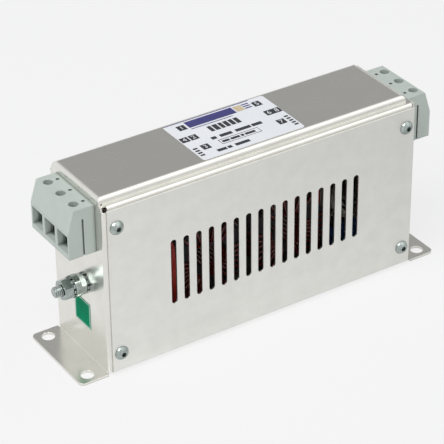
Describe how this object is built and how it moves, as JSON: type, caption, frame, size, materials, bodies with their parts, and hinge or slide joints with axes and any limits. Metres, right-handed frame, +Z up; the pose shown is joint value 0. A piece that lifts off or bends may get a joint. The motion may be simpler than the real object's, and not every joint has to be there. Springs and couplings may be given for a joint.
{
  "type": "emi line filter",
  "caption": "Sheet-metal boxed mains line filter with flanged feet, screw terminal blocks on its end walls and an earth stud.",
  "frame": {"origin": "centre of the four foot holes on the panel plane, under the feet", "axes": "+X along the case away from the earth stud, -Y out of the long side that faces the viewer, +Z up from the panel"},
  "size_m": [0.2222, 0.0586, 0.1018],
  "materials": {
    "chassis_sheet": "satin rolled sheet",
    "cover_sheet": "satin rolled sheet",
    "zinc_steel": "bright zinc plate",
    "grey_polyamide": "fine moulded grain",
    "tinned_copper": "tinned",
    "label_film": "smooth film",
    "green_film": "smooth film",
    "board_laminate": "solder-resist coat",
    "ferrite": "coated ferrite",
    "enamelled_wire": "dark red enamel",
    "holder_nylon": "moulded",
    "x_cap_case": "potted box",
    "y_cap_case": "coated",
    "resistor_body": "lacquered",
    "phase_sleeve": "extruded sleeve",
    "earth_sleeve": "extruded sleeve"
  },
  "bodies": {
    "root": {"chassis": "chassis_sheet", "cover": "cover_sheet", "front_cover_screws": "zinc_steel", "back_cover_screws": "zinc_steel", "front_clinch_nuts": "zinc_steel", "back_clinch_nuts": "zinc_steel", "line_terminal_housing": "grey_polyamide", "load_terminal_housing": "grey_polyamide", "line_clamp_cages": "zinc_steel", "load_clamp_cages": "zinc_steel", "line_clamp_screws": "zinc_steel", "load_clamp_screws": "zinc_steel", "line_contact_bars": "tinned_copper", "load_contact_bars": "tinned_copper", "housing_screws": "zinc_steel", "earth_stud": "zinc_steel", "earth_tooth_washers": "zinc_steel", "earth_plain_washers": "zinc_steel", "earth_jam_nut": "zinc_steel", "earth_full_nut": "zinc_steel", "earth_lug": "tinned_copper", "rating_label": "label_film", "earth_marker": "green_film", "circuit_board": "board_laminate", "board_standoffs": "zinc_steel", "board_screws": "zinc_steel", "choke_holders": "holder_nylon", "choke_cores": "ferrite", "phase_windings": "enamelled_wire", "x_capacitors": "x_cap_case", "y_capacitors": "y_cap_case", "bleed_resistors": "resistor_body", "line_phase_leads": "phase_sleeve", "load_phase_leads": "phase_sleeve", "earth_lead": "earth_sleeve"}
  },
  "joints": []
}
